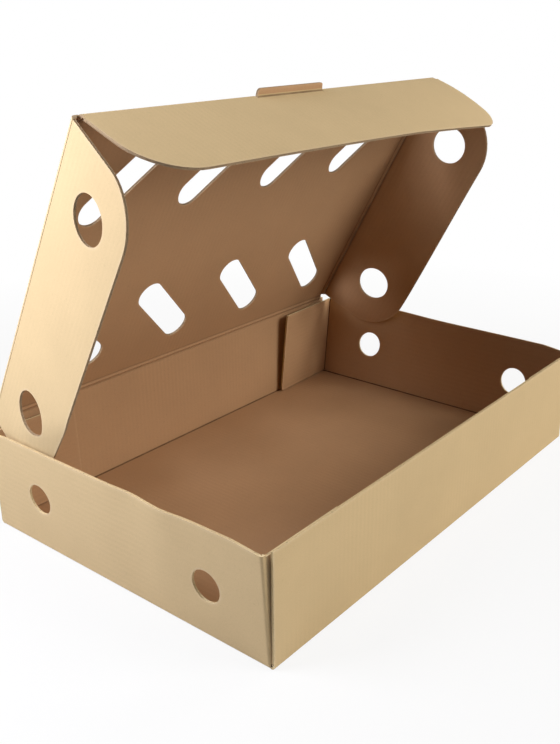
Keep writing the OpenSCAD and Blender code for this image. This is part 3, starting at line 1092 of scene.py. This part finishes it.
def white_world():
    """White where it is looked at, and a dim even light on the box."""
    world = bpy.data.worlds.new("white_studio")
    bpy.context.scene.world = world
    tree = cleared(world)
    light = node(tree, "ShaderNodeBackground", {"Color": WHITE, "Strength": AMBIENT})
    white = node(tree, "ShaderNodeBackground", {"Color": WHITE, "Strength": 1.0})
    mixed = mixed_shader(tree, seen_directly(tree), light, white)
    node(tree, "ShaderNodeOutputWorld", {"Surface": mixed})


def floor_paint():
    """Matt paint that keeps the box's shadow, mostly white where it is looked at."""
    paint = bpy.data.materials.new("pale_floor")
    tree = cleared(paint)
    matt = node(tree, "ShaderNodeBsdfDiffuse", {"Color": (*FLOOR_PAPER, 1)})
    glow = node(tree, "ShaderNodeEmission", {"Color": WHITE, "Strength": 1.0})
    where = node(tree, "ShaderNodeTexCoord").outputs["Object"]
    away = node(tree, "ShaderNodeVectorMath", {0: where}, operation="LENGTH").outputs["Value"]
    white = ranged(tree, away, FLOOR_FADE, FLOOR_WHITE_NEAR)
    lift = math_node(tree, "MULTIPLY", seen_directly(tree), white)
    node(tree, "ShaderNodeOutputMaterial", {"Surface": mixed_shader(tree, lift, matt, glow)})
    return paint


def studio_floor():
    mesh = bpy.data.meshes.new("studio_floor")
    square = ((-1, -1), (1, -1), (1, 1), (-1, 1))
    spots = [(x * FLOOR_HALF, y * FLOOR_HALF, -FLOOR_ROOM) for x, y in square]
    mesh.from_pydata(spots, [], [(0, 1, 2, 3)])
    mesh.materials.append(floor_paint())
    floor = bpy.data.objects.new("studio_floor", mesh)
    bpy.context.scene.collection.objects.link(floor)


def from_around(azimuth, elevation):
    """Direction towards a place seen around the box: azimuth 0 is in front of it and 90 to its right."""
    a, e = math.radians(azimuth), math.radians(elevation)
    return Vector((math.sin(a) * math.cos(e), -math.cos(a) * math.cos(e), math.sin(e)))


def soft_lights():
    for name, (azimuth, elevation, distance, size, power, colour) in LIGHTS.items():
        lamp = bpy.data.lights.new(name, "AREA")
        lamp.size = size
        lamp.energy = power
        lamp.color = colour
        light = bpy.data.objects.new(name, lamp)
        light.visible_camera = False
        away = from_around(azimuth, elevation)
        light.location = BOX_MIDDLE + away * distance
        light.rotation_euler = away.to_track_quat("Z", "Y").to_euler()
        bpy.context.scene.collection.objects.link(light)


# The camera, with its focal length in pixels of a picture this high, and how far it is slid right and up
PHOTO_HEIGHT = 744
FOCAL_PIXELS = 904.4
VIEW_AZIMUTH = -50.43
VIEW_ELEVATION = 21.43
VIEW_ROLL = math.radians(-0.52)
VIEW_SLIDE = (-29.3 * MM, 17.3 * MM)
VIEW_DISTANCE = 1074.6 * MM
SENSOR = 36.0


def view():
    back = from_around(VIEW_AZIMUTH, VIEW_ELEVATION)
    right = Vector((math.cos(math.radians(VIEW_AZIMUTH)), math.sin(math.radians(VIEW_AZIMUTH)), 0))
    up = back.cross(right)
    rolled_right = math.cos(VIEW_ROLL) * right + math.sin(VIEW_ROLL) * up
    rolled_up = back.cross(rolled_right)
    lens = bpy.data.cameras.new("view")
    lens.sensor_fit = "VERTICAL"
    lens.sensor_height = SENSOR
    lens.lens = FOCAL_PIXELS / PHOTO_HEIGHT * SENSOR
    camera = bpy.data.objects.new("view", lens)
    slide_right, slide_up = VIEW_SLIDE
    place = BOX_MIDDLE + rolled_right * slide_right + rolled_up * slide_up + back * VIEW_DISTANCE
    turned = Matrix((rolled_right, rolled_up, back)).transposed().to_4x4()
    camera.matrix_world = Matrix.Translation(place) @ turned
    bpy.context.scene.collection.objects.link(camera)
    bpy.context.scene.camera = camera


white_world()
studio_floor()
soft_lights()
view()
bpy.context.scene.view_settings.view_transform = "Standard"
